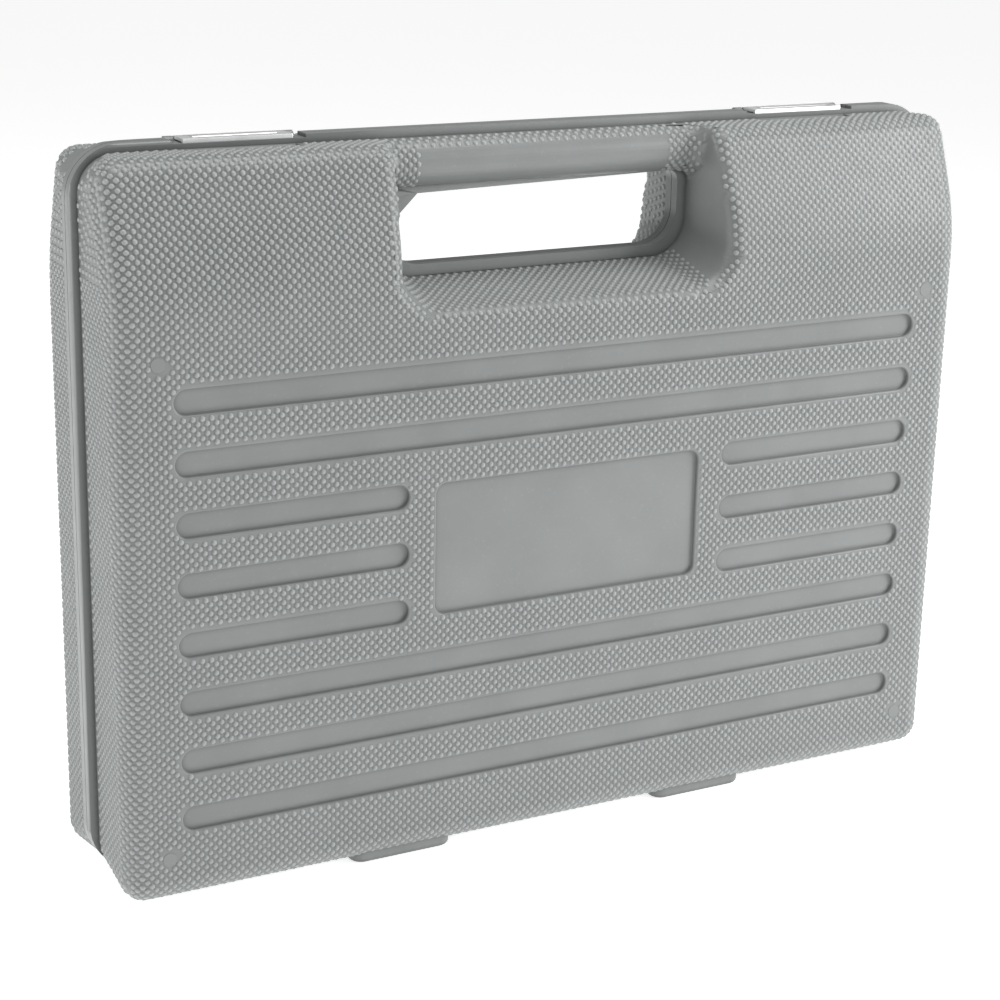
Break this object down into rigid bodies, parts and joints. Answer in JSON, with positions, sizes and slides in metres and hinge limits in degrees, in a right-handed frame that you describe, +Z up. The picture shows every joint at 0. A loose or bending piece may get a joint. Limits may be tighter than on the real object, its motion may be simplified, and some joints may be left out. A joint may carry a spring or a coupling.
{
  "type": "socket wrench set in case",
  "caption": "Socket wrench set in a moulded carrying case with hinged front, two metal latches, ratchet, sockets, extension bars, universal joint and sliding bar.",
  "frame": {"origin": "centre of the closed case's box in X and Y, at the underside of its feet", "axes": "+X along the carrying handle to the right as seen from the front shell, +Y from the front shell (with the label panel) to the tool shell, +Z up with the case standing on its feet"},
  "size_m": [0.346, 0.069, 0.2602],
  "materials": {
    "case_plastic": "light grey blow-moulded polyethylene, fine raised dots on the faces and walls, smooth rim, grip and grooves",
    "latch_steel": "bright nickel-plated sheet steel",
    "pin_steel": "plain drawn steel wire and screws",
    "tool_chrome": "satin to bright chrome plate on chrome vanadium steel",
    "machined_steel": "oiled machined steel",
    "control_steel": "satin steel",
    "ball_steel": "polished hardened steel",
    "grip_rubber": "matte black grip",
    "grommet_rubber": "black rubber"
  },
  "bodies": {
    "root": {"base_shell": "case_plastic", "hinge_pin_left": "pin_steel", "hinge_pin_right": "pin_steel", "latch_pin_left": "pin_steel", "latch_pin_right": "pin_steel", "ratchet_body": "tool_chrome", "ratchet_grip": "grip_rubber", "ratchet_cover": "tool_chrome", "cover_screws": "pin_steel", "ratchet_pawl": "machined_steel", "socket_10": "tool_chrome", "socket_11": "tool_chrome", "socket_12": "tool_chrome", "socket_13": "tool_chrome", "socket_14": "tool_chrome", "socket_15": "tool_chrome", "socket_16": "tool_chrome", "socket_17": "tool_chrome", "socket_18": "tool_chrome", "socket_19": "tool_chrome", "socket_21": "tool_chrome", "socket_22": "tool_chrome", "socket_24": "tool_chrome", "socket_27": "tool_chrome", "socket_30": "tool_chrome", "socket_32": "tool_chrome", "spark_plug_socket": "tool_chrome", "spark_plug_grommet": "grommet_rubber", "extension_long": "tool_chrome", "extension_short": "tool_chrome", "extension_balls": "ball_steel", "joint_input_yoke": "tool_chrome", "sliding_bar": "tool_chrome"},
    "lid": {"front_shell": "case_plastic"},
    "latch_left": {"latch_plate_left": "latch_steel"},
    "latch_right": {"latch_plate_right": "latch_steel"},
    "ratchet_drive": {"ratchet_drive_gear": "machined_steel"},
    "ratchet_ball": {"ratchet_lock_ball": "ball_steel"},
    "reversing_lever": {"ratchet_reversing_lever": "control_steel"},
    "release_button": {"ratchet_release_button": "control_steel"},
    "universal_cross": {"joint_cross": "machined_steel"},
    "universal_output": {"joint_output_yoke": "tool_chrome", "joint_lock_ball": "ball_steel"},
    "sliding_drive_head": {"sliding_head": "tool_chrome", "sliding_head_ball": "ball_steel"}
  },
  "joints": [
    {"name": "lid_hinge", "type": "hinge", "parent": "root", "child": "lid", "pos_m": [0, 0, 0.0034], "axis": [1, 0, 0], "range_deg": [0, 130]},
    {"name": "latch_left_hinge", "type": "hinge", "parent": "root", "child": "latch_left", "pos_m": [-0.1135, 0.0065, 0.258], "axis": [-1, 0, 0], "range_deg": [0, 105]},
    {"name": "latch_right_hinge", "type": "hinge", "parent": "root", "child": "latch_right", "pos_m": [0.1135, 0.0065, 0.258], "axis": [-1, 0, 0], "range_deg": [0, 105]},
    {"name": "ratchet_drive_spin", "type": "hinge", "parent": "root", "child": "ratchet_drive", "pos_m": [-0.118, 0, 0.123], "axis": [0, 1, 0], "continuous": true},
    {"name": "ratchet_ball_slide", "type": "slide", "parent": "ratchet_drive", "child": "ratchet_ball", "axis": [-1, 0, 0], "range_m": [0, 0.0008]},
    {"name": "reversing_lever_turn", "type": "hinge", "parent": "root", "child": "reversing_lever", "pos_m": [-0.118, 0, 0.123], "axis": [0, 1, 0], "range_deg": [-20, 20]},
    {"name": "release_button_press", "type": "slide", "parent": "root", "child": "release_button", "axis": [0, 1, 0], "range_m": [0, 0.003], "stiffness_N_per_m": 600, "springref_m": -0.001},
    {"name": "universal_first_hinge", "type": "hinge", "parent": "root", "child": "universal_cross", "pos_m": [0.109, 0.008, 0.08], "axis": [0, 0, -1], "range_deg": [0, 40]},
    {"name": "universal_second_hinge", "type": "hinge", "parent": "universal_cross", "child": "universal_output", "pos_m": [0.109, 0.008, 0.08], "axis": [0, 1, 0], "range_deg": [-8, 8]},
    {"name": "sliding_head_travel", "type": "slide", "parent": "root", "child": "sliding_drive_head", "axis": [1, 0, 0], "range_m": [-0.1, 0.1]}
  ],
  "couplings": [
    {"joint": "ratchet_ball_slide", "follows": "release_button_press", "ratio": 0.26}
  ]
}
